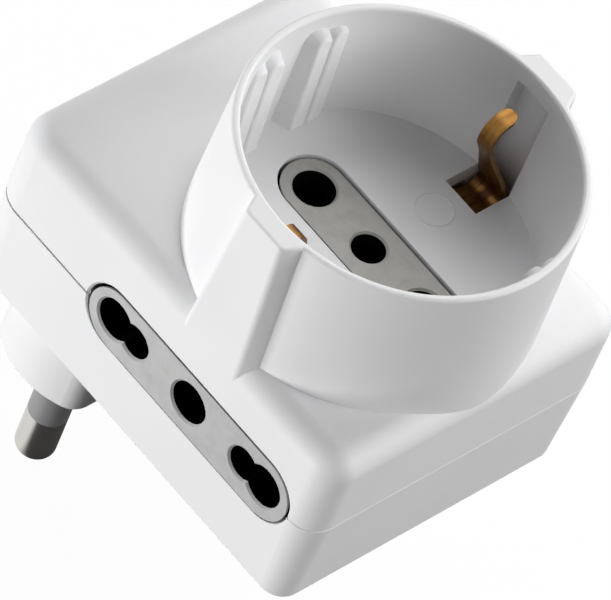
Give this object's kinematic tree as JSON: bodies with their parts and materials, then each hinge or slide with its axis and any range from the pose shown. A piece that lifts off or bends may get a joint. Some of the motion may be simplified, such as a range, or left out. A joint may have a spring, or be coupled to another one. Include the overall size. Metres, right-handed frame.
{
  "type": "multi socket adapter",
  "caption": "Plug-in mains adapter: a box with a low boss and three round pins, a deep round earthed socket on its front and a two-pitch slot socket in each side.",
  "frame": {"origin": "on the axis of the plug's middle (earth) pin, at the face of the plug boss", "axes": "+Z out of the round socket, away from the wall; the pins point along -Z; +X from the plug towards the round socket; Y along the row of pins"},
  "size_m": [0.0561, 0.0448, 0.0737],
  "materials": {
    "white_plastic": "white, satin gloss",
    "grey_plastic": "warm light grey, satin",
    "sleeve_plastic": "dark grey, satin",
    "nickel": "nickel plated brass, polished",
    "brass": "bare stamped brass",
    "bronze": "bare spring bronze"
  },
  "bodies": {
    "root": {"rear_shell": "white_plastic", "front_shell": "white_plastic", "front_socket_insert": "grey_plastic", "left_socket_insert": "grey_plastic", "right_socket_insert": "grey_plastic", "plug_line_pin": "nickel", "plug_earth_pin": "nickel", "plug_neutral_pin": "nickel", "line_pin_sleeve": "sleeve_plastic", "neutral_pin_sleeve": "sleeve_plastic", "line_strip": "brass", "earth_strip": "brass", "neutral_strip": "brass", "front_line_contact": "brass", "front_earth_contact": "brass", "front_neutral_contact": "brass", "left_line_contact": "brass", "left_earth_contact": "brass", "left_neutral_contact": "brass", "right_line_contact": "brass", "right_earth_contact": "brass", "right_neutral_contact": "brass", "left_earth_clip": "bronze", "right_earth_clip": "bronze"}
  },
  "joints": []
}
